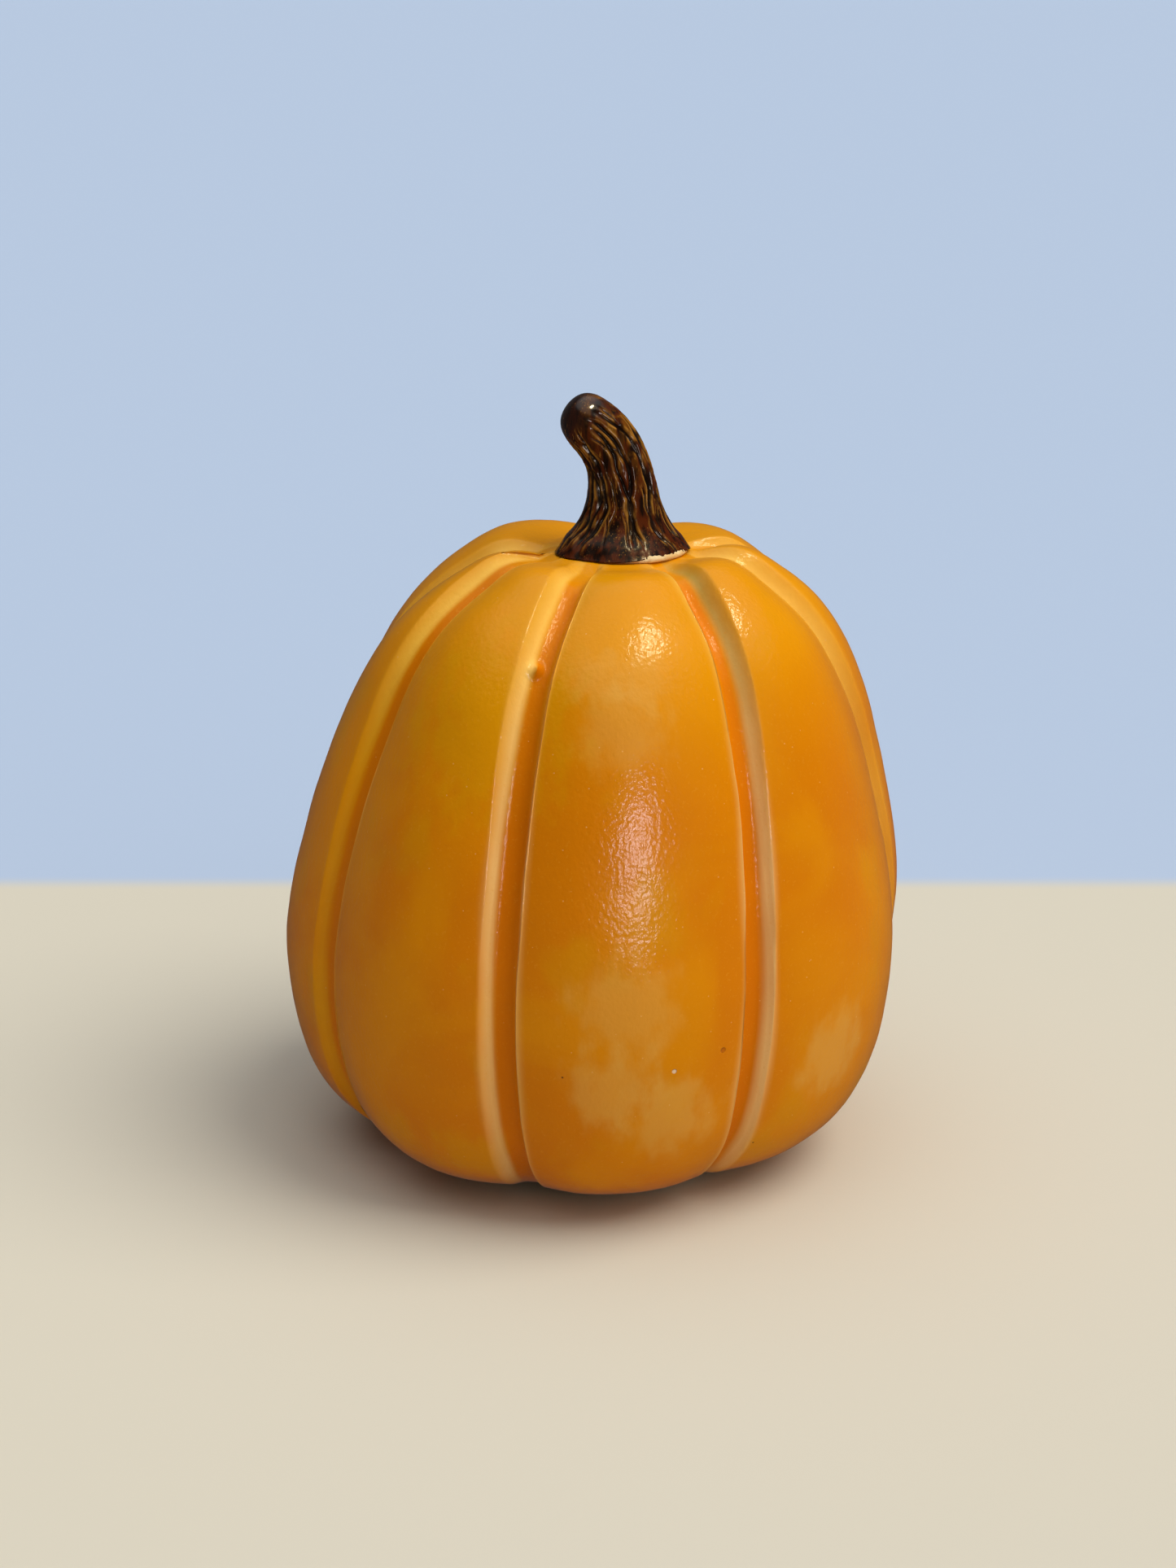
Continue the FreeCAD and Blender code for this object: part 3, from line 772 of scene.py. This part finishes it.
def dark_glaze():
    """Glossy brown glaze: almost black in the carved lines, red-brown on the strips between them,
    tan where it breaks over their crisp edges, and darkest and glassiest on the stem's end, with
    painted light as lighter amber patches on its upper right side, where the light falls."""
    recipe = Recipe("dark_glaze")
    carved = recipe.attribute("carved")
    rim = recipe.attribute("rim")
    painted_sunlit_side = recipe.attribute("painted_sunlit_side")
    knob = recipe.attribute("knob")
    patches = recipe.noise((2.2, 2.2, 5.0), detail=3.0, distortion=0.5)
    strips = recipe.noise((1.1, 1.1, 7.0), detail=2.0, moved=(5.0, 2.0, 3.0))
    colour = recipe.mix(recipe.ease(strips, 0.38, 0.62), (0.009, 0.0030, 0.0016), (0.070, 0.0125, 0.0020))
    colour = recipe.mix(recipe.math("MULTIPLY", knob, 0.75), colour, (0.010, 0.0042, 0.0028))
    # Painted light: lighter amber patches only on the stem's upper right side, where the light falls.
    painted_sunlit_amber = recipe.math("MULTIPLY", painted_sunlit_side, recipe.ease(patches, 0.38, 0.60))
    colour = recipe.mix(recipe.math("MULTIPLY", painted_sunlit_amber, 0.8), colour, (0.25, 0.085, 0.005))
    broken = recipe.math("MULTIPLY", rim, recipe.ease(patches, 0.40, 0.58))
    colour = recipe.mix(recipe.math("MULTIPLY", broken, 0.75), colour, (0.40, 0.18, 0.025))
    scratches = recipe.noise((0.20, 0.20, 2.4), detail=2.0, moved=(2.0, 7.0, 1.0))
    scratched = recipe.math("MULTIPLY", recipe.ease(scratches, 0.60, 0.70), recipe.ease(patches, 0.44, 0.56))
    colour = recipe.mix(recipe.math("MULTIPLY", scratched, 0.6), colour, (0.34, 0.155, 0.022))
    colour = recipe.mix(recipe.math("MULTIPLY", recipe.ease(carved, 0.25, 0.7), 0.93), colour,
                        (0.0085, 0.0050, 0.0040))
    recipe.set("Base Color", colour)
    recipe.set("Roughness", recipe.blend(recipe.noise(0.9, detail=3.0), 0.12, 0.30))
    recipe.set("Specular IOR Level", 0.14)
    recipe.set("Specular Tint", (1.0, 0.82, 0.50))
    recipe.set("Coat Weight", recipe.blend(knob, 0.10, 0.55))
    recipe.set("Coat Roughness", 0.04)
    recipe.set("Normal", recipe.bump(recipe.noise((0.40, 0.40, 1.0), detail=3.0), 0.06, 0.5))
    return recipe.material


def bare_slip():
    """Matt cream slip with a torn, grainy surface."""
    recipe = Recipe("bare_slip")
    stain = recipe.noise(1.6, detail=3.0)
    recipe.set("Base Color", recipe.mix(recipe.ease(stain, 0.35, 0.7), (0.80, 0.60, 0.30),
                                        (0.72, 0.44, 0.15)))
    recipe.set("Roughness", recipe.blend(stain, 0.55, 0.8))
    recipe.set("Normal", recipe.bump(recipe.noise(0.35, detail=4.0), 0.12, 0.8))
    return recipe.material


def felt():
    """Pressed brown felt: short crossing fibres."""
    recipe = Recipe("felt")
    fibres = recipe.noise((0.12, 0.9, 0.3), detail=4.0, distortion=1.5)
    crossing = recipe.noise((0.9, 0.12, 0.3), detail=4.0, moved=(4.0, 2.0, 1.0), distortion=1.5)
    fluff = recipe.math("MAXIMUM", fibres, crossing)
    recipe.set("Base Color", recipe.mix(recipe.ease(fluff, 0.4, 0.75), (0.060, 0.038, 0.025),
                                        (0.20, 0.135, 0.09)))
    recipe.set("Roughness", 0.95)
    recipe.set("Sheen Weight", 0.5)
    recipe.set("Normal", recipe.bump(fluff, 0.15, 0.9))
    return recipe.material


def dress(piece, node, material):
    piece.data.materials.append(material)
    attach(piece, "root")
    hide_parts(node)


# ------------------------------------------------------------------ stage, light and camera

CAMERA_AIM = Vector((-0.0005, 0.0, 0.0551))
CAMERA_DISTANCE = 0.428
CAMERA_ELEVATION = 18.35
CAMERA_LENS = 65.4
SENSOR = 36.0
NEAR_PAPER = (0.645, 0.595, 0.475)
FAR_PAPER = (0.44, 0.53, 0.665)
PAPER_JOIN = 0.106
JOIN_SOFTNESS = 0.004
FLOOR_SIZE = 12.0
ROOM = (0.86, 0.91, 1.0)
WALL_LIGHT = 0.08
CEILING_LIGHT = 1.3
# The ceiling's light starts and is full where the way up has these upward shares.
CEILING_STARTS = 0.60
CEILING_FULL = 0.95
BACKDROP = (0.45, 0.53, 0.66)
LIGHT_AIM = Vector((0.0, 0.0, 0.05))


def stage_paper():
    """Pale paper: a warm sheet under the figure that gives way to a cooler one behind it."""
    recipe = Recipe("stage_paper")
    apart = recipe.node("ShaderNodeSeparateXYZ")
    recipe.feed(apart.inputs[0], recipe.place)
    behind = recipe.ease(apart.outputs["Y"], PAPER_JOIN - JOIN_SOFTNESS, PAPER_JOIN + JOIN_SOFTNESS)
    recipe.set("Base Color", recipe.mix(behind, NEAR_PAPER, FAR_PAPER))
    recipe.set("Roughness", 1.0)
    recipe.set("Specular IOR Level", 0.0)
    return recipe.material


def make_stage():
    """The floor.  It isn't seen in the glazes, which its pale reflection would wash out."""
    bpy.ops.mesh.primitive_plane_add(size=FLOOR_SIZE)
    floor = bpy.context.object
    floor.name = "stage_floor"
    floor.data.materials.append(stage_paper())
    floor.visible_glossy = False


def direction(azimuth, elevation):
    """The way to a place at these degrees: azimuth is round to the right from the front."""
    turn, lift = math.radians(azimuth), math.radians(elevation)
    return Vector((math.sin(turn) * math.cos(lift), -math.cos(turn) * math.cos(lift), math.sin(lift)))


def place_facing(thing, target, way, distance):
    thing.location = target + distance * way
    thing.rotation_mode = "QUATERNION"
    thing.rotation_quaternion = way.to_track_quat("Z", "Y")
    bpy.context.scene.collection.objects.link(thing)


def make_sun(name, azimuth, elevation, spread, strength, colour):
    """A large soft light far off; spread is how many degrees it fills.  It isn't seen in the glazes."""
    lamp = bpy.data.lights.new(name, "SUN")
    lamp.angle = math.radians(spread)
    lamp.energy = strength
    lamp.color = colour
    thing = bpy.data.objects.new(name, lamp)
    place_facing(thing, LIGHT_AIM, direction(azimuth, elevation), 1.0)
    thing.visible_glossy = False


def make_softbox(name, azimuth, elevation, distance, size, power, colour):
    """A lamp that is seen only as a reflection in the glazes."""
    lamp = bpy.data.lights.new(name, "AREA")
    lamp.shape = "RECTANGLE"
    lamp.size, lamp.size_y = size
    lamp.energy = power
    lamp.color = colour
    thing = bpy.data.objects.new(name, lamp)
    place_facing(thing, LIGHT_AIM, direction(azimuth, elevation), distance)
    thing.visible_diffuse = False


def make_room():
    """A dim room with a bright ceiling; the camera sees it as a plain pale backdrop."""
    world = bpy.data.worlds.new("soft_room")
    world.use_nodes = True
    tree = world.node_tree
    way = tree.nodes.new("ShaderNodeSeparateXYZ")
    ceiling = tree.nodes.new("ShaderNodeMapRange")
    ceiling.interpolation_type = "SMOOTHSTEP"
    ceiling.inputs["From Min"].default_value = CEILING_STARTS
    ceiling.inputs["From Max"].default_value = CEILING_FULL
    ceiling.inputs["To Min"].default_value = WALL_LIGHT
    ceiling.inputs["To Max"].default_value = CEILING_LIGHT
    room = tree.nodes["Background"]
    room.inputs["Color"].default_value = (*ROOM, 1.0)
    backdrop = tree.nodes.new("ShaderNodeBackground")
    backdrop.inputs["Color"].default_value = (*BACKDROP, 1.0)
    choice = tree.nodes.new("ShaderNodeMixShader")
    tree.links.new(tree.nodes.new("ShaderNodeTexCoord").outputs["Generated"], way.inputs[0])
    tree.links.new(way.outputs["Z"], ceiling.inputs["Value"])
    tree.links.new(ceiling.outputs["Result"], room.inputs["Strength"])
    tree.links.new(tree.nodes.new("ShaderNodeLightPath").outputs["Is Camera Ray"], choice.inputs[0])
    tree.links.new(room.outputs[0], choice.inputs[1])
    tree.links.new(backdrop.outputs[0], choice.inputs[2])
    tree.links.new(choice.outputs[0], tree.nodes["World Output"].inputs["Surface"])
    bpy.context.scene.world = world


def make_lights():
    make_sun("soft_sun", 76.0, 56.0, 42.0, 1.9, (1.0, 0.97, 0.92))
    make_sun("front_fill", 36.0, 30.0, 60.0, 0.72, (1.0, 0.96, 0.90))
    make_softbox("window", 13.0, 9.5, 0.62, (0.13, 0.14), 1.45, (0.88, 0.85, 1.0))
    make_softbox("overhead", 50.0, 70.0, 0.8, (0.17, 0.10), 3.3, (1.0, 0.91, 0.66))


def make_camera():
    lens = bpy.data.cameras.new("camera")
    lens.lens = CAMERA_LENS
    lens.sensor_width = SENSOR
    lens.clip_start = 0.01
    camera = bpy.data.objects.new("camera", lens)
    place_facing(camera, CAMERA_AIM, direction(0.0, CAMERA_ELEVATION), CAMERA_DISTANCE)
    bpy.context.scene.camera = camera


# ------------------------------------------------------------------ the whole figure

# Pinholes in the glaze: azimuth in degrees, height in millimetres, radius in millimetres, colour.
PINHOLES = [(13.8, 28.6, 0.42, (0.85, 0.62, 0.42)), (23.1, 30.3, 0.50, (0.48, 0.12, 0.003))]
# Patches of thinner glaze: azimuth, height, radius and how strong they are, then their colour.
PALE = (0.74, 0.37, 0.065)
OCHRE = (0.68, 0.30, 0.0004)
PATCHES = [(5.6, 37.0, 8.0, 0.42, PALE), (14.4, 21.0, 7.5, 0.55, PALE), (3.4, 26.0, 7.0, 0.5, PALE),
           (48.6, 25.4, 7.5, 0.55, PALE), (-3.4, 79.5, 4.5, 0.3, PALE), (8.0, 79.0, 4.8, 0.3, PALE),
           (2.5, 74.0, 7.0, 0.35, PALE), (-24.0, 13.0, 7.0, 0.45, OCHRE), (-28.0, 73.0, 14.0, 0.6, OCHRE)]

make_camera()
make_room()
make_lights()
make_stage()
body_piece, body_skin = make_body()
pinhole_spots = [(spot_on(body_skin, azimuth, height), radius, colour)
                 for azimuth, height, radius, colour in PINHOLES]
patch_spots = [(spot_on(body_skin, azimuth, height), radius, strength, colour)
               for azimuth, height, radius, strength, colour in PATCHES]
dress(body_piece, "body_shell", orange_glaze(pinhole_spots, patch_spots))
dress(make_stem(), "stem", dark_glaze())
dress(make_slip_line(), "stem_slip_joint", bare_slip())
pad_felt = felt()
for pad_number, pad_node in enumerate(PADS, start=1):
    dress(make_pad(pad_number, pad_node), pad_node, pad_felt)

bpy.context.scene.view_settings.view_transform = "Standard"
